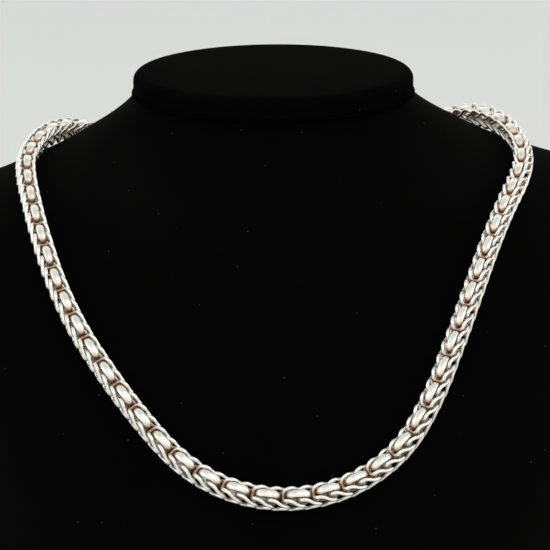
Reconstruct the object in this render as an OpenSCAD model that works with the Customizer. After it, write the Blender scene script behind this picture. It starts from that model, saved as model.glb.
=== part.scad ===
// Braided chain necklace on a plain cloth-covered neck bust.
// Millimetres. The bust stands on its flat base at Z = 0, its front faces -Y, X = 0 is its middle.

/* [Chain] */
// number of chain pitches in the whole loop, clasp counted as two
pitches = 63; // [50:1:70]
// length of a band link
band_length = 8.64; // [7:0.02:9.4]
// greatest height of a band link across its dome
band_height = 7.6; // [6:0.1:9]
// greatest width of a band link
band_width = 3; // [2:0.1:4]
// wall of a band link
band_wall = 0.55; // [0.4:0.05:1]
// radius of the dome across a band link
dome_radius = 3.4; // [2.5:0.1:5]
// radius of the bulging long sides of a band link
side_radius = 20; // [12:1:60]
// radius of the braid wire
wire_radius = 0.44; // [0.3:0.01:0.6]
// centreline radius of the hidden joining rings
joiner_radius = 2.12; // [1.8:0.02:2.4]
// wire radius of the hidden joining rings
joiner_wire = 0.3; // [0.2:0.01:0.45]

/* [Clasp] */
// radius of the clasp's barrel
clasp_radius = 2.4; // [1.5:0.1:3.5]
// length of the clasp's barrel
clasp_length = 11.8; // [8:0.1:14]
// outer radius of the clasp's end eyes
eye_radius = 1.9; // [1.4:0.1:2.4]
// thickness of the clasp's end eyes
eye_width = 1.6; // [1:0.1:2.4]

/* [Bust] */
// how far the chain's middle lies off the bust's surface
chain_lift = 4.4; // [4:0.1:6]
// distance of the neck's axis behind the middle of the base
neck_y = 36; // [20:1:50]
// half-width of the pad on the neck
cap_half_width = 50; // [44:0.5:56]
// half-depth of the pad on the neck
cap_half_depth = 40; // [34:0.5:46]

/* [Hidden] */
body_columns = 32;
cap_columns = 28;
samples = 6;

// bust outline, one row for each ring from the neck's top edge down to the base
// half width, side Y, side height, front Y, front height, back Y, back height,
// how much the right side stands above the mean of both sides
rings = [
    [49.5, 36, 157.6, -2, 157.6, 74, 157.6, 0],
    [54.5, 36, 153.3,   -5, 148,  77, 146, 0.3],
    [  62, 35,   149,  -19, 136,  83, 120, 0.5],
    [  77, 32, 141.8,  -46, 120,  88,  90, 0.8],
    [  94, 30, 135.6,  -66,  96,  93,  66, 1.2],
    [ 110, 30,   128,  -90,  66,  98,  47, 1.4],
    [ 120, 31,   106, -100,  45, 103,  31,   1],
    [ 124, 33,    74, -108,  23, 108,  15,   0],
    [ 124, 35,     0, -110,   0, 110,   0,   0]
];

// where the chain lies on the bust, one row for each station, from the back of the neck,
// down the left side, along the front and up the right side
// ring number, turn about the neck from the front, lean of the bands towards the loop's inside
route = [
    [2.355, -179.2, 76.6],
    [2.378, -160.3, 76.3],
    [2.451, -137.5, 74.3],
    [2.595, -118.4, 66.6],
    [2.854, -104.5, 53.8],
    [3.327,  -90.1, 33.3],
    [3.610,  -81.7, 26.6],
    [3.911,  -67.2, 20.5],
    [4.138,  -59.4, 14.8],
    [4.427,  -50.6, 10.3],
    [4.643,  -43.2,  9.7],
    [4.833,  -35.3, 10.9],
    [5.012,  -28.4, 14.7],
    [5.264,  -19.6, 20.3],
    [5.384,  -11.5, 22.5],
    [5.392,   -2.2, 24.2],
    [5.289,    7.4, 25.3],
    [5.081,   16.2, 25.6],
    [4.760,   24.0, 24.3],
    [4.512,   29.3, 24.4],
    [4.175,   37.5, 24.5],
    [3.877,   46.4, 25.1],
    [3.700,   56.5, 24.9],
    [3.635,   71.2, 26.9],
    [3.473,   82.0, 30.1],
    [3.187,   91.1, 37.6],
    [2.778,  104.5, 57.2],
    [2.525,  119.2, 69.9],
    [2.408,  138.7, 76.5],
    [2.364,  160.8, 77.3]
];

// a quarter of a wire link's centreline, mirrored to both sides and to the back
// forward along the chain, sideways, out of the chain's face
wire_quarter = [
    [-0.25, 1.15, 1.65],
    [ 1.70, 2.30, 2.85],
    [ 6.88, 2.65, 0.55]
];

// pad outline, one row for each ring upwards
// inset from the pad's size, height
cap_rings = [
    [0.6, 158.4],
    [0,   159.9],
    [0,   163.6],
    [1.1, 165.6],
    [3.2, 166.4]
];

function unit(v) = v / norm(v);

// smooth curve through b and c, at f of the way from b
function blend(a, b, c, d, f) =
    (2*b + (c - a)*f + (2*a - 5*b + 4*c - d)*f*f + (3*b - a - 3*c + d)*f*f*f) / 2;

function ring_at(t) =
    let (last = len(rings) - 1, i = min(floor(t), last - 1))
    blend(rings[max(i - 1, 0)], rings[i], rings[i + 1], rings[min(i + 2, last)], t - i);

// point of the bust's surface at ring t and turn a
function skin(t, a) =
    let (r = ring_at(t),
         c = cos(a),
         end_y = c > 0 ? r[3] : r[5],
         end_z = c > 0 ? r[4] : r[6])
    [r[0]*sin(a), r[1] + (end_y - r[1])*abs(c), r[2] + (end_z - r[2])*c*c + r[7]*sin(a)];

function skin_normal(t, a) =
    unit(cross(skin(t + 0.02, a) - skin(t - 0.02, a), skin(t, a + 0.5) - skin(t, a - 0.5)));

// route row i, with the turn carried past a full circle
function station(i) =
    let (n = len(route), k = (i % n + n) % n)
    route[k] + [0, 360*floor(i/n), 0];

function route_at(x) =
    let (i = floor(x))
    blend(station(i - 1), station(i), station(i + 1), station(i + 2), x - i);

steps = len(route)*samples;
fine = [for (i = [-samples : steps + samples]) route_at(i/samples)];
path = [for (q = fine) skin(q[0], q[1]) + chain_lift*skin_normal(q[0], q[1])];
faces_out = [for (q = fine) skin_normal(q[0], q[1])];

function running(i, total) =
    let (next = i + 1)
    i >= len(path) ? []
    : concat([total], running(next, total + (next < len(path) ? norm(path[next] - path[i]) : 0)));
run = running(0, 0);
start = run[samples];
loop_length = run[samples + steps] - start;
pitch = loop_length / pitches;

function table_of(rows, c) = [for (i = [0 : len(rows) - 1]) [run[i] - start, rows[i][c]]];
table_x = table_of(path, 0);
table_y = table_of(path, 1);
table_z = table_of(path, 2);
table_a = table_of(faces_out, 0);
table_b = table_of(faces_out, 1);
table_c = table_of(faces_out, 2);
table_lean = table_of(fine, 2);

// point of the chain's middle line at distance s
function along(s) = [lookup(s, table_x), lookup(s, table_y), lookup(s, table_z)];
function outward(s) = [lookup(s, table_a), lookup(s, table_b), lookup(s, table_c)];

// frame at point c with its first axis along d: forward, sideways, out of the face
function frame(c, d, s) =
    let (t = unit(d),
         raw = outward(s),
         v = unit(raw - t*(raw*t)),
         u = cross(v, t),
         a = lookup(s, table_lean),
         w = v*cos(a) + u*sin(a),
         p = cross(w, t))
    [[t[0], p[0], w[0], c[0]],
     [t[1], p[1], w[1], c[1]],
     [t[2], p[2], w[2], c[2]],
     [0, 0, 0, 1]];

// frame on the curve, and frame of a stiff link between two curve points
function curve_frame(s) = frame(along(s), along(s + pitch/2) - along(s - pitch/2), s);
function chord_frame(a, b) =
    let (m = (a + b)/2)
    frame(0.4*(along(a) + along(b)) + 0.2*along(m), along(b) - along(a), m);

function mirrored(rows, m) = [for (p = rows) [p[0]*m[0], p[1]*m[1], p[2]*m[2]]];
function backwards(rows) = [for (i = [len(rows) - 1 : -1 : 0]) rows[i]];
right_half = concat(wire_quarter, backwards(mirrored(wire_quarter, [1, 1, -1])));
wire_loop = concat(right_half, backwards(mirrored(right_half, [1, -1, 1])));
wire_sides = 5;
wire_middle = [3.2, 0, 0];

// corner j of the wire's section at loop point i
function wire_corner(i, j) =
    let (n = len(wire_loop),
         p = wire_loop[i],
         before = unit(p - wire_loop[(i + n - 1) % n]),
         after = unit(wire_loop[(i + 1) % n] - p),
         t = unit(before + after),
         out = p - wire_middle,
         e = unit(out - t*(out*t)),
         g = cross(t, e),
         a = 360*j/wire_sides)
    p + wire_radius*(e*cos(a) + g*sin(a));

function oval(rx, ry, n) = [for (i = [0 : n - 1]) [rx*sin(360*i/n), ry*cos(360*i/n)]];

// quads between stacked rings of n points, closed by flat ends
function stack_faces(rows, n) = concat(
    [[for (i = [0 : n - 1]) i]],
    [for (r = [0 : rows - 2]) for (i = [0 : n - 1])
        [r*n + i, (r + 1)*n + i, (r + 1)*n + (i + 1) % n]],
    [for (r = [0 : rows - 2]) for (i = [0 : n - 1])
        [r*n + i, (r + 1)*n + (i + 1) % n, r*n + (i + 1) % n]],
    [[for (i = [n - 1 : -1 : 0]) (rows - 1)*n + i]]);

module bust_body() {
    body_rows = [for (t = [8, 7, 6.5, 6, 5.5, 5, 4.5, 4, 3.5, 3, 2.5, 2, 1.5, 1, 0.5, 0]) t];
    color([0.03, 0.03, 0.035])
        polyhedron(
            points = [for (t = body_rows) for (i = [0 : body_columns - 1]) skin(t, 360*i/body_columns)],
            faces = [for (f = stack_faces(len(body_rows), body_columns)) backwards(f)],
            convexity = 4);
}

module neck_cap() {
    color([0.05, 0.05, 0.055])
        translate([0, neck_y, 0])
            polyhedron(
                points = [for (r = cap_rings)
                    for (p = oval(cap_half_width - r[0], cap_half_depth - r[0], cap_columns))
                        [p[0], p[1], r[1]]],
                faces = stack_faces(len(cap_rings), cap_columns),
                convexity = 2);
}

module cap_seam() {
    color([0.02, 0.02, 0.02])
        translate([0, neck_y, 157.75])
            linear_extrude(height = 0.5)
                polygon(oval(cap_half_width + 0.7, cap_half_depth + 0.7, cap_columns));
}

// one domed band link: forward is X, sideways is Y, the dome is +Z and -Z
module band_link() {
    hl = band_length/2;
    hh = band_height/2;
    hw = band_width/2;
    difference() {
        intersection() {
            rotate([90, 0, 0])
                cylinder(h = 2*hw + 1, r = hl, center = true, $fn = 64);
            rotate([90, 0, 90])
                linear_extrude(height = band_length + 1, center = true)
                    for (m = [-1, 1])
                        translate([0, m*(hh - dome_radius)])
                            circle(r = dome_radius, $fn = 64);
            bulging_sides(hw);
        }
        rotate([90, 0, 0])
            linear_extrude(height = band_width + 2, center = true)
                intersection() {
                    circle(r = hl - band_wall, $fn = 64);
                    square([band_length, 2*(hh - band_wall - 0.05)], center = true);
                }
    }
}

// the space between the bulging long sides of a band
module bulging_sides(hw) {
    intersection() {
        translate([0, side_radius - hw, 0])
            cylinder(h = band_height + 2, r = side_radius, center = true, $fn = 96);
        translate([0, hw - side_radius, 0])
            cylinder(h = band_height + 2, r = side_radius, center = true, $fn = 96);
    }
}

module joiner() {
    rotate_extrude($fn = 48)
        translate([joiner_radius, 0])
            circle(r = joiner_wire, $fn = 24);
}

module band_chain() {
    color([0.80, 0.80, 0.78]) {
        for (k = [1 : pitches - 2])
            multmatrix(chord_frame(k*pitch, (k + 1)*pitch))
                band_link();
        for (k = [1 : pitches - 1])
            multmatrix(curve_frame(k*pitch))
                joiner();
    }
}

module wire_link() {
    n = len(wire_loop);
    polyhedron(
        points = [for (i = [0 : n - 1]) for (j = [0 : wire_sides - 1]) wire_corner(i, j)],
        faces = [for (i = [0 : n - 1]) for (j = [0 : wire_sides - 1]) for (h = [0, 1])
            let (a = i*wire_sides + j,
                 b = i*wire_sides + (j + 1) % wire_sides,
                 c = ((i + 1) % n)*wire_sides + (j + 1) % wire_sides,
                 d = ((i + 1) % n)*wire_sides + j)
            h == 0 ? [a, b, c] : [a, c, d]],
        convexity = 4);
}

module gap_wires() {
    color([0.78, 0.78, 0.76])
        for (k = [1 : pitches - 2])
            multmatrix(curve_frame(k*pitch))
                wire_link();
}

module band_wires() {
    color([0.76, 0.76, 0.74])
        for (k = [1 : pitches - 2])
            multmatrix(curve_frame((k + 0.5)*pitch))
                wire_link();
}

module clasp() {
    eye_at = pitch - 0.7 - eye_radius;
    color([0.75, 0.75, 0.73])
        multmatrix(frame((along(-pitch) + along(pitch))/2, along(pitch) - along(-pitch), 0))
            difference() {
                union() {
                    rotate([0, 90, 0])
                        cylinder(h = clasp_length, r = clasp_radius, center = true, $fn = 48);
                    for (m = [-1, 1])
                        translate([m*eye_at, 0, 0])
                            rotate([90, 0, 0])
                                cylinder(h = eye_width, r = eye_radius, center = true, $fn = 48);
                }
                for (m = [-1, 1])
                    translate([m*eye_at, 0, 0])
                        rotate([90, 0, 0])
                            cylinder(h = eye_width + 1, r = eye_radius - 0.55, center = true, $fn = 48);
            }
}

bust_body();
neck_cap();
cap_seam();
band_chain();
gap_wires();
band_wires();
clasp();
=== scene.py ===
import logging
import math
from dataclasses import dataclass, field
from enum import Enum
from typing import Optional, Sequence, Union

import bmesh
import bpy
from mathutils import Matrix, Vector


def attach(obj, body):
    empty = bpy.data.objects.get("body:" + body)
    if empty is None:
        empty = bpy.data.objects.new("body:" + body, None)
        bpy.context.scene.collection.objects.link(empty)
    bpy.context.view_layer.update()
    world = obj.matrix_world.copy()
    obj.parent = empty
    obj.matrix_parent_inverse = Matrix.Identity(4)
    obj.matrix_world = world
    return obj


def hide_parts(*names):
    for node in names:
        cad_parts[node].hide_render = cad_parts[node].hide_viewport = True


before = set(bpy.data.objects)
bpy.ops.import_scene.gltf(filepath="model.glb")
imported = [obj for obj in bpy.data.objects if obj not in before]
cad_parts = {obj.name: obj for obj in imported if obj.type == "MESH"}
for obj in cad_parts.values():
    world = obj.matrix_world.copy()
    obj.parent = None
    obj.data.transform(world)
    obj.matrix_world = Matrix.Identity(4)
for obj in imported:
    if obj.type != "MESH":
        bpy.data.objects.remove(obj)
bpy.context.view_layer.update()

MM = 0.001
LOG = logging.getLogger("necklace")


# Shader helpers

class Term:
    """A shader value, a socket or a number, whose operators add Math nodes."""

    def __init__(self, graph: "Graph", value: object) -> None:
        """Keeps the graph that new nodes go to, and the socket or number."""
        self.graph = graph
        self.value = value

    def _math(self, operation: str, *values: object) -> "Term":
        """Adds one Math node.

        Args:
            operation: the Math node's operation.
            values: its inputs, as terms, sockets or numbers.

        Returns:
            The node's result as a term.
        """
        return self.graph.node("ShaderNodeMath", {"operation": operation}, dict(enumerate(values)))

    def __add__(self, other: object) -> "Term":
        """self + other."""
        return self._math("ADD", self, other)

    def __radd__(self, other: object) -> "Term":
        """other + self."""
        return self._math("ADD", other, self)

    def __sub__(self, other: object) -> "Term":
        """self - other."""
        return self._math("SUBTRACT", self, other)

    def __rsub__(self, other: object) -> "Term":
        """other - self."""
        return self._math("SUBTRACT", other, self)

    def __mul__(self, other: object) -> "Term":
        """self * other."""
        return self._math("MULTIPLY", self, other)

    def __rmul__(self, other: object) -> "Term":
        """other * self."""
        return self._math("MULTIPLY", other, self)

    def clamped(self) -> "Term":
        """The value held between 0 and 1."""
        return self._math("MAXIMUM", self._math("MINIMUM", self, 1.0), 0.0)


class Graph:
    """The node tree of one material or of the world."""

    def __init__(self, tree: bpy.types.NodeTree) -> None:
        """Starts from an empty tree."""
        self.tree = tree
        tree.nodes.clear()

    def raw(self, kind: str, settings: Optional[dict] = None,
            inputs: Optional[dict] = None) -> bpy.types.Node:
        """Adds any node.

        Args:
            kind: the node's type name.
            settings: attributes set before the sockets; "stops" is a ramp's list of
                places and colours.
            inputs: sockets by name or number, given as terms, sockets or plain values.

        Returns:
            The new node.
        """
        node = self.tree.nodes.new(kind)
        for name, value in (settings or {}).items():
            if name == "stops":
                ramp = node.color_ramp
                while len(ramp.elements) < len(value):
                    ramp.elements.new(0.5)
                for element, (place, colour) in zip(ramp.elements, value):
                    element.position = place
                    element.color = (*colour, 1.0) if len(colour) == 3 else colour
            else:
                setattr(node, name, value)
        for name, value in (inputs or {}).items():
            socket = node.inputs[name]
            if isinstance(value, Term):
                value = value.value
            if isinstance(value, bpy.types.NodeSocket):
                self.tree.links.new(value, socket)
            elif isinstance(value, (tuple, list)) and len(value) == 3 and socket.type == "RGBA":
                socket.default_value = (*value, 1.0)
            else:
                socket.default_value = value
        return node

    def node(self, kind: str, settings: Optional[dict] = None, inputs: Optional[dict] = None,
             output: Union[int, str] = 0) -> Term:
        """Adds any node and returns one of its outputs as a term."""
        return Term(self, self.raw(kind, settings, inputs).outputs[output])

    def mix(self, factor: object, a: object, b: object) -> Term:
        """A colour between a and b."""
        node = self.tree.nodes.new("ShaderNodeMix")
        node.data_type = "RGBA"
        for socket, value in ((node.inputs[0], factor), (node.inputs[6], a), (node.inputs[7], b)):
            if isinstance(value, Term):
                value = value.value
            if isinstance(value, bpy.types.NodeSocket):
                self.tree.links.new(value, socket)
            elif isinstance(value, (tuple, list)):
                socket.default_value = (*value, 1.0)
            else:
                socket.default_value = value
        return Term(self, node.outputs[2])


# Finishes

@dataclass(frozen=True)
class SilverFinish:
    """Polished silver with painted warm shade in the hollows."""

    name: str
    bright: tuple[float, float, float] = (0.94, 0.935, 0.89)
    # The next two colours are painted shade: warm brown for shaded hollows and darker brown for the
    # deepest ones.
    hollow: tuple[float, float, float] = (0.74, 0.60, 0.49)
    deep: tuple[float, float, float] = (0.34, 0.21, 0.14)
    roughness: float = 0.28
    cloud_scale: float = 420.0
    scratch_scale: float = 5200.0
    scratch: float = 0.10
    scratch_depth: float = 0.00004
    deep_from: float = 0.70
    deep_gain: float = 3.6

    def build(self) -> bpy.types.Material:
        """Makes the material.

        Returns:
            The material, which mixes in painted shade colours as much as the mesh's painted shade
            attribute asks.
        """
        material = bpy.data.materials.new(self.name)
        material.use_nodes = True
        graph = Graph(material.node_tree)
        place = graph.node("ShaderNodeTexCoord", output="Object")
        hollow = graph.node("ShaderNodeAttribute", {"attribute_name": "hollow"}, output="Fac")
        clouds = graph.node("ShaderNodeTexNoise", inputs={
            "Vector": place, "Scale": self.cloud_scale, "Detail": 3.0})
        fine = graph.node("ShaderNodeTexNoise", inputs={
            "Vector": place, "Scale": self.scratch_scale, "Detail": 2.0})
        # Painted shade: the colour runs from bright to the shade colours as the painted shade
        # attribute rises, darkest in the deepest places.
        tint = (hollow * (0.75 + clouds * 0.5)).clamped()
        shallow = graph.mix(tint, self.bright, self.hollow)
        deepest_shade = ((hollow - self.deep_from) * self.deep_gain).clamped()
        colour = graph.mix(deepest_shade, shallow, self.deep)
        roughness = self.roughness + clouds * 0.08 + hollow * 0.14
        bump = graph.node("ShaderNodeBump", inputs={
            "Strength": self.scratch, "Distance": self.scratch_depth,
            "Height": fine + clouds * 1.5})
        shader = graph.raw("ShaderNodeBsdfPrincipled", inputs={
            "Base Color": colour, "Metallic": 1.0, "Roughness": roughness, "Normal": bump})
        graph.raw("ShaderNodeOutputMaterial", inputs={"Surface": shader.outputs[0]})
        return material


@dataclass(frozen=True)
class VelvetFinish:
    """Black short-pile cloth with lint and a faint nap."""

    name: str
    dark: tuple[float, float, float] = (0.0004, 0.0004, 0.0004)
    light: tuple[float, float, float] = (0.0012, 0.0012, 0.0012)
    lint: tuple[float, float, float] = (0.038, 0.038, 0.040)
    sheen: float = 0.004
    specular: float = 0.03
    nap_scale: float = 30.0
    pile_scale: float = 2600.0
    pile_depth: float = 0.0003
    lint_scale: float = 155.0
    lint_size: float = 0.037

    def build(self) -> bpy.types.Material:
        """Makes the material.

        Returns:
            The material: a pile grain, a slow nap and small specks of lint.
        """
        material = bpy.data.materials.new(self.name)
        material.use_nodes = True
        graph = Graph(material.node_tree)
        place = graph.node("ShaderNodeTexCoord", output="Object")
        nap = graph.node("ShaderNodeTexNoise", inputs={
            "Vector": place, "Scale": self.nap_scale, "Detail": 4.0})
        pile = graph.node("ShaderNodeTexNoise", inputs={
            "Vector": place, "Scale": self.pile_scale, "Detail": 2.0})
        cells = graph.node("ShaderNodeTexVoronoi", {"feature": "F1"},
                           {"Vector": place, "Scale": self.lint_scale}, "Distance")
        speck = graph.node("ShaderNodeMath", {"operation": "LESS_THAN"},
                           {0: cells, 1: self.lint_size})
        body = graph.mix((nap * 1.4 - 0.2 + (pile - 0.5) * 0.6).clamped(), self.dark, self.light)
        colour = graph.mix(speck * 0.9, body, self.lint)
        bump = graph.node("ShaderNodeBump", inputs={
            "Strength": 0.35, "Distance": self.pile_depth, "Height": pile + nap * 0.5})
        shader = graph.raw("ShaderNodeBsdfPrincipled", inputs={
            "Base Color": colour, "Roughness": 0.95, "Specular IOR Level": self.specular,
            "Sheen Weight": self.sheen, "Sheen Roughness": 0.35,
            "Sheen Tint": (0.35, 0.35, 0.38), "Normal": bump})
        graph.raw("ShaderNodeOutputMaterial", inputs={"Surface": shader.outputs[0]})
        return material


@dataclass(frozen=True)
class PlainFinish:
    """A matt single-tone surface for the floor."""

    name: str
    colour: tuple[float, float, float]

    def build(self) -> bpy.types.Material:
        """Makes the material with a very faint mottling."""
        material = bpy.data.materials.new(self.name)
        material.use_nodes = True
        graph = Graph(material.node_tree)
        place = graph.node("ShaderNodeTexCoord", output="Object")
        cloud = graph.node("ShaderNodeTexNoise", inputs={
            "Vector": place, "Scale": 3.0, "Detail": 2.0})
        dim = tuple(c * 0.985 for c in self.colour)
        shader = graph.raw("ShaderNodeBsdfPrincipled", inputs={
            "Base Color": graph.mix(cloud, dim, self.colour), "Roughness": 0.9,
            "Specular IOR Level": 0.1})
        graph.raw("ShaderNodeOutputMaterial", inputs={"Surface": shader.outputs[0]})
        return material


class Slot(Enum):
    """The record's material slots."""

    BUST = "bust_cloth"
    CAP = "cap_cloth"
    WELT = "welt_cloth"
    BAND = "band_silver"
    WIRE = "wire_silver"
    CLASP = "clasp_silver"


# Mesh helpers

def finish_piece(bm: bmesh.types.BMesh, name: str, material: bpy.types.Material,
                 nodes: Sequence[str]) -> bpy.types.Object:
    """Turns a bmesh in metres into a smooth-shaded piece that stands for CAD nodes.

    Args:
        bm: the shape, which is freed.
        name: the piece's name.
        material: its only material.
        nodes: the CAD nodes that it replaces.

    Returns:
        The new object, at the origin.
    """
    mesh = bpy.data.meshes.new(name)
    for face in bm.faces:
        face.smooth = True
    bm.to_mesh(mesh)
    bm.free()
    piece = bpy.data.objects.new(name, mesh)
    bpy.context.scene.collection.objects.link(piece)
    mesh.materials.append(material)
    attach(piece, "root")
    if nodes:
        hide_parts(*nodes)
    LOG.info("%s: %d faces", name, len(mesh.polygons))
    return piece


def sweep_ring(stations: Sequence[Matrix], radius: float, sides: int) -> bmesh.types.BMesh:
    """Sweeps a circle round a closed run of frames.

    Args:
        stations: one frame for each section; the section lies in the frame's XY plane.
        radius: the wire's radius.
        sides: points of the section.

    Returns:
        A closed tube.
    """
    bm = bmesh.new()
    bmesh.ops.create_circle(bm, segments=sides, radius=radius, matrix=stations[0])
    edges = start_edges = list(bm.edges)
    for here, there in zip(stations, stations[1:]):
        grown = bmesh.ops.extrude_edge_only(bm, edges=edges)
        verts = [g for g in grown["geom"] if isinstance(g, bmesh.types.BMVert)]
        edges = [g for g in grown["geom"] if isinstance(g, bmesh.types.BMEdge)]
        bmesh.ops.transform(bm, matrix=there @ here.inverted(), verts=verts)
    bmesh.ops.bridge_loops(bm, edges=edges + start_edges)
    bmesh.ops.recalc_face_normals(bm, faces=bm.faces)
    return bm


def add_copies(target: bmesh.types.BMesh, source: bpy.types.Mesh, places: Sequence[Matrix]) -> None:
    """Adds a copy of a mesh at each place."""
    for place in places:
        moved = source.copy()
        moved.transform(place)
        target.from_mesh(moved)
        bpy.data.meshes.remove(moved)


def smooth_between(a: Vector, b: Vector, c: Vector, d: Vector, f: float) -> Vector:
    """The smooth curve through b and c, at f of the way from b."""
    return (2*b + (c - a)*f + (2*a - 5*b + 4*c - d)*f*f + (3*b - a - 3*c + d)*f*f*f) / 2


# The bust

@dataclass
class BustForm:
    """The bust's surface, in millimetres, and the pieces made from it.

    Each row of rings is one ring from the neck's top edge down to the base:
    half width, side Y, side height, front Y, front height, back Y, back height, and how much
    the right side stands above the mean of both.
    The pad lies from cap_low to cap_high, its top is drawn in by cap_insets and raised by
    cap_crown, and the welt runs round the neck under it. All of them are in millimetres.
    """

    neck_y: float = 36.0
    rings: tuple = (
        (49.5, 36, 157.6, -2, 157.6, 74, 157.6, 0),
        (54.5, 36, 153.3, -5, 148, 77, 146, 0.3),
        (62, 35, 149, -19, 136, 83, 120, 0.5),
        (77, 32, 141.8, -46, 120, 88, 90, 0.8),
        (94, 30, 135.6, -66, 96, 93, 66, 1.2),
        (110, 30, 128, -90, 66, 98, 47, 1.4),
        (120, 31, 106, -100, 45, 103, 31, 1),
        (124, 33, 74, -108, 23, 108, 15, 0),
        (124, 35, 0, -110, 0, 110, 0, 0),
    )
    skin_columns: int = 144
    skin_rows: int = 96
    base_edge: float = 1.2
    cap_half_width: float = 50.0
    cap_half_depth: float = 40.0
    cap_low: float = 158.4
    cap_high: float = 166.0
    cap_upper_edge: float = 3.0
    cap_lower_edge: float = 1.2
    cap_insets: tuple = (4.0, 8.0, 8.0, 6.0)
    cap_crown: float = 0.4
    welt_height: float = 158.35
    welt_radius: float = 0.65
    welt_steps: int = 128

    def ring(self, t: float) -> Vector:
        """The outline row at ring t, blended between its neighbours."""
        last = len(self.rings) - 1
        i = max(0, min(math.floor(t), last - 1))
        rows = [Vector(self.rings[k]) for k in (max(i - 1, 0), i, i + 1, min(i + 2, last))]
        return smooth_between(*rows, t - i)

    def skin(self, t: float, turn: float) -> Vector:
        """The surface point at ring t and a turn in degrees from the front."""
        row = self.ring(t)
        s, c = math.sin(math.radians(turn)), math.cos(math.radians(turn))
        end_y, end_z = (row[3], row[4]) if c > 0 else (row[5], row[6])
        return Vector((row[0]*s, row[1] + (end_y - row[1])*abs(c),
                       row[2] + (end_z - row[2])*c*c + row[7]*s))

    def normal(self, t: float, turn: float) -> Vector:
        """The outward normal there."""
        along = self.skin(t + 0.02, turn) - self.skin(t - 0.02, turn)
        round_ = self.skin(t, turn + 0.5) - self.skin(t, turn - 0.5)
        return along.cross(round_).normalized()

    def build_body(self, material: bpy.types.Material) -> bpy.types.Object:
        """Makes the cloth-covered body from a grid laid on the surface.

        Args:
            material: the velvet.

        Returns:
            The piece.
        """
        last = len(self.rings) - 1
        bm = bmesh.new()
        bmesh.ops.create_grid(bm, x_segments=self.skin_columns, y_segments=self.skin_rows, size=1.0)
        for v in bm.verts:
            turn = v.co.x*180.0
            t = (1.0 - v.co.y)*0.5*last
            v.co = self.skin(t, turn)*MM
        bmesh.ops.remove_doubles(bm, verts=bm.verts, dist=1e-6)
        rims = [e for e in bm.edges if e.is_boundary]
        bmesh.ops.holes_fill(bm, edges=rims, sides=0)
        base = [e for e in bm.edges if all(abs(v.co.z) < 1e-6 for v in e.verts)]
        bmesh.ops.bevel(bm, geom=base, offset=self.base_edge*MM, segments=3, profile=0.5,
                        affect="EDGES", material=-1)
        bmesh.ops.recalc_face_normals(bm, faces=bm.faces)
        return finish_piece(bm, "velvet_bust", material, ["bust_body"])

    def build_cap(self, material: bpy.types.Material) -> bpy.types.Object:
        """Makes the padded top with its rounded edge.

        Args:
            material: the cap's cloth.

        Returns:
            The piece.
        """
        bm = bmesh.new()
        low, high = self.cap_low, self.cap_high
        bmesh.ops.create_circle(bm, segments=96, radius=1.0, cap_ends=True)
        grown = bmesh.ops.extrude_face_region(bm, geom=list(bm.faces))
        top = [g for g in grown["geom"] if isinstance(g, bmesh.types.BMVert)]
        for v in bm.verts:
            v.co = Vector((v.co.x*self.cap_half_width, self.neck_y + v.co.y*self.cap_half_depth,
                           high if v in top else low))*MM
        upper = [e for e in bm.edges if all(v in top for v in e.verts)]
        bmesh.ops.bevel(bm, geom=upper, offset=self.cap_upper_edge*MM, segments=8, profile=0.5,
                        affect="EDGES", material=-1)
        lower = [e for e in bm.edges if all(v.co.z < low*MM + 1e-6 for v in e.verts)]
        bmesh.ops.bevel(bm, geom=lower, offset=self.cap_lower_edge*MM, segments=4, profile=0.5,
                        affect="EDGES", material=-1)
        middle = (low + high)/2*MM
        for face in [f for f in bm.faces if len(f.verts) > 8 and f.calc_center_median().z > middle]:
            for inset in self.cap_insets:
                bmesh.ops.inset_region(bm, faces=[face], thickness=inset*MM, depth=0.0)
            bmesh.ops.poke(bm, faces=[face])
        centre = Vector((0.0, self.neck_y*MM, 0.0))
        for v in bm.verts:
            if v.co.z > (high - 0.01)*MM:
                flat = v.co - centre
                reach = math.hypot(flat.x/(self.cap_half_width*MM), flat.y/(self.cap_half_depth*MM))
                v.co.z += self.cap_crown*MM*max(0.0, 1.0 - reach*reach)
        bmesh.ops.recalc_face_normals(bm, faces=bm.faces)
        return finish_piece(bm, "neck_pad", material, ["neck_cap"])

    def build_welt(self, material: bpy.types.Material) -> bpy.types.Object:
        """Makes the thin sewn welt under the pad.

        Args:
            material: the welt's cloth.

        Returns:
            The piece.
        """
        stations = []
        wide, deep, up = self.cap_half_width, self.cap_half_depth, Vector((0, 0, 1))
        for i in range(self.welt_steps):
            a = 2*math.pi*i/self.welt_steps
            p = Vector((wide*math.sin(a), self.neck_y + deep*math.cos(a), self.welt_height))
            ahead = Vector((wide*math.cos(a), -deep*math.sin(a), 0)).normalized()
            m = Matrix((up.cross(ahead), up, ahead)).transposed().to_4x4()
            m.translation = p*MM
            stations.append(m)
        bm = sweep_ring(stations, self.welt_radius*MM, 10)
        return finish_piece(bm, "pad_welt", material, ["cap_seam"])


# The chain

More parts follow.
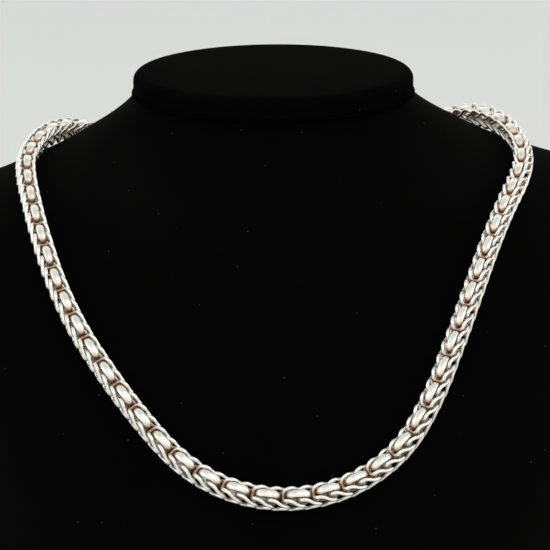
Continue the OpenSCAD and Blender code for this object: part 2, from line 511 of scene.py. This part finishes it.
@dataclass
class ChainRoute:
    """The chain's middle line on the bust, in millimetres.

    Each row of stations is ring number, turn about the neck from the front, and the lean of
    the bands towards the loop's inside, from the back of the neck and down the left side.
    """

    form: BustForm
    lift: float = 4.4
    pitches: int = 63
    substeps: int = 12
    stations: tuple = (
        (2.355, -179.2, 76.6), (2.378, -160.3, 76.3), (2.451, -137.5, 74.3), (2.595, -118.4, 66.6),
        (2.854, -104.5, 53.8), (3.327, -90.1, 33.3), (3.61, -81.7, 26.6), (3.911, -67.2, 20.5),
        (4.138, -59.4, 14.8), (4.427, -50.6, 10.3), (4.643, -43.2, 9.7), (4.833, -35.3, 10.9),
        (5.012, -28.4, 14.7), (5.264, -19.6, 20.3), (5.384, -11.5, 22.5), (5.392, -2.2, 24.2),
        (5.289, 7.4, 25.3), (5.081, 16.2, 25.6), (4.76, 24, 24.3), (4.512, 29.3, 24.4),
        (4.175, 37.5, 24.5), (3.877, 46.4, 25.1), (3.7, 56.5, 24.9), (3.635, 71.2, 26.9),
        (3.473, 82, 30.1), (3.187, 91.1, 37.6), (2.778, 104.5, 57.2), (2.525, 119.2, 69.9),
        (2.408, 138.7, 76.5), (2.364, 160.8, 77.3),
    )
    points: list = field(default_factory=list)
    normals: list = field(default_factory=list)
    leans: list = field(default_factory=list)
    runs: list = field(default_factory=list)
    length: float = 0.0

    def __post_init__(self) -> None:
        """Samples the line once, a little past both of its ends."""
        count = len(self.stations)
        steps = count*self.substeps
        for i in range(-self.substeps, steps + self.substeps + 1):
            x = i/self.substeps
            k = math.floor(x)
            row = smooth_between(*(self._station(k + d) for d in (-1, 0, 1, 2)), x - k)
            normal = self.form.normal(row[0], row[1])
            self.points.append(self.form.skin(row[0], row[1]) + self.lift*normal)
            self.normals.append(normal)
            self.leans.append(row[2])
        total = 0.0
        self.runs.append(0.0)
        for a, b in zip(self.points, self.points[1:]):
            total += (b - a).length
            self.runs.append(total)
        start = self.runs[self.substeps]
        self.length = self.runs[self.substeps + steps] - start
        self.runs = [r - start for r in self.runs]

    def _station(self, i: int) -> Vector:
        """Row i of the table, with the turn carried past a full circle."""
        count = len(self.stations)
        row = Vector(self.stations[i % count])
        row[1] += 360*(i // count)
        return row

    @property
    def pitch(self) -> float:
        """The distance from one gap between bands to the next."""
        return self.length/self.pitches

    def _find(self, s: float) -> tuple[int, float]:
        """The sample before distance s and how far s is past it."""
        low, high = 0, len(self.runs) - 2
        while low < high:
            middle = (low + high + 1)//2
            if self.runs[middle] <= s:
                low = middle
            else:
                high = middle - 1
        return low, (s - self.runs[low])/(self.runs[low + 1] - self.runs[low])

    def at(self, s: float) -> Vector:
        """The point at distance s from the back of the neck."""
        i, f = self._find(s)
        return self.points[i].lerp(self.points[i + 1], f)

    def frame(self, centre: Vector, ahead: Vector, s: float) -> Matrix:
        """The frame at a point: forward, sideways and out of the chain's face.

        Args:
            centre: its origin, in millimetres.
            ahead: its first axis.
            s: the distance that the normal and the lean are read at.

        Returns:
            A matrix in metres for shapes that are in millimetres.
        """
        i, f = self._find(s)
        t = ahead.normalized()
        raw = self.normals[i].lerp(self.normals[i + 1], f)
        v = (raw - t*raw.dot(t)).normalized()
        u = v.cross(t)
        lean = math.radians(self.leans[i]*(1 - f) + self.leans[i + 1]*f)
        w = v*math.cos(lean) + u*math.sin(lean)
        p = w.cross(t)
        m = Matrix((t, p, w)).transposed().to_4x4()
        m.translation = centre
        return Matrix.Scale(MM, 4) @ m

    def on_curve(self, s: float) -> Matrix:
        """The frame on the curve at distance s."""
        half = self.pitch/2
        return self.frame(self.at(s), self.at(s + half) - self.at(s - half), s)

    def on_chord(self, a: float, b: float) -> Matrix:
        """The frame of a stiff link between two distances."""
        middle = (a + b)/2
        centre = 0.4*(self.at(a) + self.at(b)) + 0.2*self.at(middle)
        return self.frame(centre, self.at(b) - self.at(a), middle)


@dataclass
class BandLinks:
    """The long domed bands and the rings that join them.

    A band's section has an outer face that drops by dome_drop at its edges. The shares
    end_narrowing, squareness and arch shape the two ends. The other tint values set painted shade:
    more in the band's recesses, and a painted warm shade at both ends, strongest at the lower end.
    """

    route: ChainRoute
    length: float = 8.64
    height: float = 7.6
    width: float = 3.0
    wall: float = 0.55
    outer_share: float = 0.88
    inner_share: float = 0.97
    edge_round: float = 0.10
    dome_drop: float = 0.55
    end_narrowing: float = 0.46
    narrowing_power: float = 2.2
    squareness: float = 0.24
    arch: float = 0.16
    # The next six values set the painted shade: a warm shade at the band's two ends and a shade
    # that deepens into its recesses.
    lower_end_shade: float = 0.62
    lower_shade_from: float = 0.10
    lower_shade_over: float = 0.45
    upper_end_shade: float = 0.20
    recess_shade_from: float = 0.18
    recess_shade_gain: float = 1.5
    turn_steps: int = 14
    joiner_radius: float = 2.12
    joiner_wire: float = 0.30
    joiner_shade: float = 0.8

    def _band(self) -> bpy.types.Mesh:
        """Makes one band: a domed section carried round a long ring.

        Returns:
            The band in its own frame, in millimetres, with its painted shade attribute.
        """
        radius = self.height/2
        reach = self.length/2 - radius
        half = self.width/2
        bm = bmesh.new()
        made = bmesh.ops.create_circle(bm, segments=16, radius=1.0)
        for v in made["verts"]:
            across, out = v.co.x, v.co.y
            if out >= 0:
                at_edge = abs(across) > 0.95
                y = across*half*self.outer_share
                z = radius - self.dome_drop*(1 - out) - self.edge_round*at_edge
            else:
                y = across*half*self.inner_share
                z = radius - self.wall + self.edge_round*(1 + out) - 0.04
            v.co = Vector((reach, y, z))
        edges = start = list(bm.edges)
        for centre_x in (reach, -reach):
            spun = bmesh.ops.spin(bm, geom=edges, cent=(centre_x, 0, 0), axis=(0, 1, 0),
                                  angle=math.pi, steps=self.turn_steps, use_duplicate=False)
            edges = [g for g in spun["geom_last"] if isinstance(g, bmesh.types.BMEdge)]
            if centre_x > 0:
                for _ in range(2):
                    grown = bmesh.ops.extrude_edge_only(bm, edges=edges)
                    verts = [g for g in grown["geom"] if isinstance(g, bmesh.types.BMVert)]
                    edges = [g for g in grown["geom"] if isinstance(g, bmesh.types.BMEdge)]
                    bmesh.ops.translate(bm, vec=(-reach, 0, 0), verts=verts)
        bmesh.ops.bridge_loops(bm, edges=edges + start)
        bmesh.ops.remove_doubles(bm, verts=bm.verts, dist=1e-4)
        bmesh.ops.recalc_face_normals(bm, faces=bm.faces)
        layer = bm.verts.layers.float.new("hollow")
        for v in bm.verts:
            ahead = v.co.x/(self.length/2)
            along = abs(ahead)
            v.co.y *= 1.0 - self.end_narrowing*along**self.narrowing_power
            rise = min(1.0, (v.co.z/radius)**2)
            v.co.x *= 1.0 + self.squareness*6.75*rise*rise*(1.0 - rise)
            v.co.z *= 1.0 - self.arch*along*along
            # Painted shade: deeper places inside the band get more of the shade tint, and so do
            # both ends, most of all the lower end.
            depth = 1.0 - abs(v.co.z)/radius
            lower_shade = self.lower_end_shade*min(1.0, max(0.0, (ahead - self.lower_shade_from)/self.lower_shade_over))
            upper_shade = self.upper_end_shade*max(0.0, -ahead - 0.5)
            recess_shade = max(0.0, (depth - self.recess_shade_from)*self.recess_shade_gain)
            v[layer] = min(1.0, recess_shade + (lower_shade + upper_shade))
        mesh = bpy.data.meshes.new("band_shape")
        bm.to_mesh(mesh)
        bm.free()
        return mesh

    def _joiner(self) -> bpy.types.Mesh:
        """Makes one joining ring, in millimetres.

        Returns:
            The ring.
        """
        stations = []
        steps, up = 28, Vector((0, 0, 1))
        for i in range(steps):
            a = 2*math.pi*i/steps
            radial = Vector((math.cos(a), math.sin(a), 0))
            m = Matrix((radial, up, radial.cross(up))).transposed().to_4x4()
            m.translation = radial*self.joiner_radius
            stations.append(m)
        bm = sweep_ring(stations, self.joiner_wire, 8)
        # Painted shade: each ring sits deep in the braid and gets the same strong share of the
        # shade tint.
        layer = bm.verts.layers.float.new("hollow")
        for v in bm.verts:
            v[layer] = self.joiner_shade
        mesh = bpy.data.meshes.new("joiner_shape")
        bm.to_mesh(mesh)
        bm.free()
        return mesh

    def build(self, material: bpy.types.Material) -> bpy.types.Object:
        """Makes every band and joining ring as one piece.

        Args:
            material: the silver.

        Returns:
            The piece.
        """
        pitch, last = self.route.pitch, self.route.pitches
        bm = bmesh.new()
        places = [self.route.on_chord(k*pitch, (k + 1)*pitch) for k in range(1, last - 1)]
        half_turn = Matrix.Rotation(math.pi, 4, "Z")
        lower_end_ahead = [m if m.col[0].z < 0 else m @ half_turn for m in places]
        add_copies(bm, self._band(), lower_end_ahead)
        add_copies(bm, self._joiner(), [self.route.on_curve(k*pitch) for k in range(1, last)])
        return finish_piece(bm, "domed_bands", material, ["band_chain"])


class Strand(Enum):
    """The two runs of wire links: through the gaps and through the bands."""

    GAP = 0.0
    BAND = 0.5


@dataclass
class WireLinks:
    """The round-wire saddle links of the braid.

    Each row of quarter is a point of a quarter of the link's centreline, from the waist to the
    outer tip: forward along the chain, sideways, out of its face. The wire gets more painted
    shade the nearer it lies to the chain's middle line, up to the shade reach.
    """

    route: ChainRoute
    radius: float = 0.60
    quarter: tuple = (
        (-0.06, 0.0, 1.25),
        (-0.02, 1.05, 1.35),
        (0.32, 1.60, 1.90),
        (1.00, 2.00, 2.58),
        (1.95, 2.28, 2.95),
        (3.00, 2.52, 2.72),
        (4.20, 2.75, 1.65),
        (5.40, 2.87, 1.00),
        (6.50, 2.83, 0.64),
        (7.00, 2.70, 0.0),
    )
    middle: float = 3.2
    sides: int = 12
    shade_reach: float = 3.3
    shade_gain: float = 2.2

    def _centreline(self) -> list[Vector]:
        """Makes the closed centreline from the quarter.

        Returns:
            Its points in order.
        """
        q = [Vector(p) for p in self.quarter]
        half = q + [Vector((p.x, p.y, -p.z)) for p in reversed(q[:-1])]
        loop = half + [Vector((p.x, -p.y, p.z)) for p in reversed(half[1:-1])]
        count = len(loop)
        fine = []
        for i in range(count):
            a, b, c, d = (loop[(i + k) % count] for k in (-1, 0, 1, 2))
            fine.extend(smooth_between(a, b, c, d, f/2) for f in range(2))
        return fine

    def _link(self) -> bpy.types.Mesh:
        """Makes one saddle link, in millimetres, with its painted shade attribute.

        Returns:
            The link.
        """
        line = self._centreline()
        count = len(line)
        centre = Vector((self.middle, 0, 0))
        stations = []
        for i, p in enumerate(line):
            t = (line[(i + 1) % count] - line[i - 1]).normalized()
            out = p - centre
            e = (out - t*out.dot(t)).normalized()
            m = Matrix((e, t.cross(e), t)).transposed().to_4x4()
            m.translation = p
            stations.append(m)
        bm = sweep_ring(stations, self.radius, self.sides)
        layer = bm.verts.layers.float.new("hollow")
        # Painted shade: wire nearer the chain's middle line, deep among the other links, gets more
        # of the shade tint.
        for v in bm.verts:
            inner = max(0.0, 1.0 - math.hypot(v.co.y, v.co.z)/self.shade_reach)
            v[layer] = min(1.0, inner*self.shade_gain)
        mesh = bpy.data.meshes.new("wire_shape")
        bm.to_mesh(mesh)
        bm.free()
        return mesh

    def build(self, strand: Strand, name: str, material: bpy.types.Material,
              node: str) -> bpy.types.Object:
        """Makes one strand of links as one piece.

        Args:
            strand: which run.
            name: the piece's name.
            material: the silver.
            node: the CAD node that it stands for.

        Returns:
            The piece.
        """
        pitch, last = self.route.pitch, self.route.pitches
        places = [self.route.on_curve((k + strand.value)*pitch) for k in range(1, last - 1)]
        bm = bmesh.new()
        add_copies(bm, self._link(), places)
        return finish_piece(bm, name, material, [node])


@dataclass
class Clasp:
    """The plain barrel clasp at the back of the neck, with eye_gap from each eye to a band."""

    route: ChainRoute
    radius: float = 2.4
    length: float = 11.8
    rim: float = 0.7
    eye_radius: float = 1.9
    eye_width: float = 1.6
    eye_wall: float = 0.55
    eye_gap: float = 0.7
    eye_steps: int = 32
    tint: float = 0.1

    def _eye(self) -> bpy.types.Mesh:
        """Makes one eye: a ring of flat section, in millimetres.

        Returns:
            The eye, round the Y axis.
        """
        stations = []
        across = Vector((0, 1, 0))
        flat = Matrix.Diagonal((1.0, self.eye_width/self.eye_wall, 1.0, 1.0))
        for i in range(self.eye_steps):
            a = 2*math.pi*i/self.eye_steps
            radial = Vector((math.cos(a), 0, math.sin(a)))
            m = Matrix((radial, across, radial.cross(across))).transposed().to_4x4() @ flat
            m.translation = radial*(self.eye_radius - self.eye_wall/2)
            stations.append(m)
        ring = sweep_ring(stations, self.eye_wall/2, 10)
        mesh = bpy.data.meshes.new("eye_shape")
        ring.to_mesh(mesh)
        ring.free()
        return mesh

    def build(self, material: bpy.types.Material) -> bpy.types.Object:
        """Makes the barrel with its two eyes.

        Args:
            material: the silver.

        Returns:
            The piece.
        """
        pitch = self.route.pitch
        bm = bmesh.new()
        along_x = Matrix.Rotation(math.radians(90), 4, "Y")
        bmesh.ops.create_cone(bm, cap_ends=True, segments=40, radius1=self.radius,
                              radius2=self.radius, depth=self.length, matrix=along_x)
        rims = [e for e in bm.edges if any(len(f.verts) > 8 for f in e.link_faces)]
        bmesh.ops.bevel(bm, geom=rims, offset=self.rim, segments=4, profile=0.5,
                        affect="EDGES", material=-1)
        reach = pitch - self.eye_gap - self.eye_radius
        add_copies(bm, self._eye(), [Matrix.Translation((x, 0, 0)) for x in (-reach, reach)])
        # The whole barrel gets the same faint share of the painted shade tint.
        layer = bm.verts.layers.float.new("hollow")
        for v in bm.verts:
            v[layer] = self.tint
        centre = (self.route.at(-pitch) + self.route.at(pitch))/2
        m = self.route.frame(centre, self.route.at(pitch) - self.route.at(-pitch), 0.0)
        bmesh.ops.transform(bm, matrix=m, verts=bm.verts)
        bmesh.ops.recalc_face_normals(bm, faces=bm.faces)
        return finish_piece(bm, "barrel_clasp", material, ["clasp"])


# The setting

@dataclass(frozen=True)
class Softbox:
    """One rectangular lamp: its place and aim in metres, its size, watts and colour."""

    name: str
    place: tuple[float, float, float]
    aim: tuple[float, float, float]
    size: tuple[float, float]
    power: float
    colour: tuple[float, float, float]

    def build(self) -> None:
        """Adds the lamp."""
        data = bpy.data.lights.new(self.name, "AREA")
        data.shape = "RECTANGLE"
        data.size, data.size_y = self.size
        data.energy = self.power
        data.color = self.colour
        lamp = bpy.data.objects.new(self.name, data)
        lamp.location = self.place
        facing = Vector(self.aim) - Vector(self.place)
        lamp.rotation_euler = facing.to_track_quat("-Z", "Y").to_euler()
        bpy.context.scene.collection.objects.link(lamp)


@dataclass
class Studio:
    """The floor, the lights and the camera.

    The surroundings are a ramp of heights and colours, from straight below to straight above.
    """

    softboxes: tuple = (
        Softbox("top_softbox", (0.42, -0.95, 1.75), (0, -0.05, 0.1), (0.50, 0.36), 3.2,
                (1.0, 0.99, 0.97)),
        Softbox("left_softbox", (-1.3, -0.7, 0.9), (0, 0, 0.1), (0.9, 0.9), 2.7,
                (1.0, 0.99, 0.97)),
        Softbox("right_softbox", (1.3, -0.6, 0.8), (0, 0, 0.1), (0.9, 0.9), 2.5,
                (1.0, 0.99, 0.98)),
    )
    surroundings: tuple = (
        (0.0, (0.26, 0.21, 0.17)), (0.45, (0.40, 0.36, 0.32)), (0.56, (0.86, 0.85, 0.81)),
        (0.78, (1.0, 1.0, 0.97)), (0.93, (0.66, 0.67, 0.64)), (1.0, (0.58, 0.59, 0.56)),
    )
    surroundings_strength: float = 1.10
    floor_colour: tuple[float, float, float] = (0.725, 0.735, 0.738)
    camera_place: tuple[float, float, float] = (-0.07339, -0.90323, 0.4132)
    camera_ahead: tuple[float, float, float] = (0.0742, 0.9426, -0.3256)
    lens: float = 178.5

    def build_floor(self) -> bpy.types.Object:
        """Makes the plain pale floor."""
        bm = bmesh.new()
        bmesh.ops.create_grid(bm, x_segments=4, y_segments=4, size=6.0)
        mesh = bpy.data.meshes.new("floor")
        bm.to_mesh(mesh)
        bm.free()
        floor = bpy.data.objects.new("floor", mesh)
        bpy.context.scene.collection.objects.link(floor)
        mesh.materials.append(PlainFinish("pale_floor", self.floor_colour).build())
        return floor

    def build_lights(self) -> None:
        """Adds the soft lamps and the pale surroundings."""
        for softbox in self.softboxes:
            softbox.build()
        world = bpy.data.worlds.new("surroundings")
        world.use_nodes = True
        bpy.context.scene.world = world
        graph = Graph(world.node_tree)
        ways = graph.node("ShaderNodeTexCoord", output="Generated")
        parts = graph.raw("ShaderNodeSeparateXYZ", inputs={0: ways})
        up = Term(graph, parts.outputs[2])
        ramp = graph.node("ShaderNodeValToRGB", {"stops": self.surroundings}, {0: up*0.5 + 0.5})
        back = graph.raw("ShaderNodeBackground", inputs={
            "Color": ramp, "Strength": self.surroundings_strength})
        graph.raw("ShaderNodeOutputWorld", inputs={"Surface": back.outputs[0]})

    def build_camera(self) -> None:
        """Sets the camera at the photograph's viewing angle."""
        data = bpy.data.cameras.new("camera")
        data.sensor_fit = "HORIZONTAL"
        data.sensor_width = 36.0
        data.lens = self.lens
        data.clip_start = 0.05
        data.clip_end = 50.0
        camera = bpy.data.objects.new("camera", data)
        camera.location = self.camera_place
        camera.rotation_euler = Vector(self.camera_ahead).to_track_quat("-Z", "Y").to_euler()
        bpy.context.scene.collection.objects.link(camera)
        bpy.context.scene.camera = camera
        bpy.context.scene.view_settings.view_transform = "Standard"


def main() -> None:
    """Builds every piece in order."""
    logging.basicConfig(level=logging.INFO, format="%(name)s %(message)s")
    studio = Studio()
    studio.build_camera()
    studio.build_lights()
    studio.build_floor()
    form = BustForm()
    form.build_body(VelvetFinish("bust_velvet").build())
    form.build_cap(VelvetFinish("cap_velvet", dark=(0.0008, 0.0008, 0.0008),
                                light=(0.0018, 0.0018, 0.0018), sheen=0.001,
                                specular=0.01).build())
    form.build_welt(VelvetFinish("welt_velvet", sheen=0.0, specular=0.01).build())
    route = ChainRoute(form)
    LOG.info("chain length %.1f mm, pitch %.3f mm", route.length, route.pitch)
    BandLinks(route).build(SilverFinish("band_silver").build())
    wires = WireLinks(route)
    silver = SilverFinish("wire_silver", roughness=0.30).build()
    wires.build(Strand.GAP, "gap_saddles", silver, "gap_wires")
    wires.build(Strand.BAND, "band_saddles", silver, "band_wires")
    Clasp(route).build(SilverFinish("clasp_silver").build())


if __name__ == "__main__":
    main()
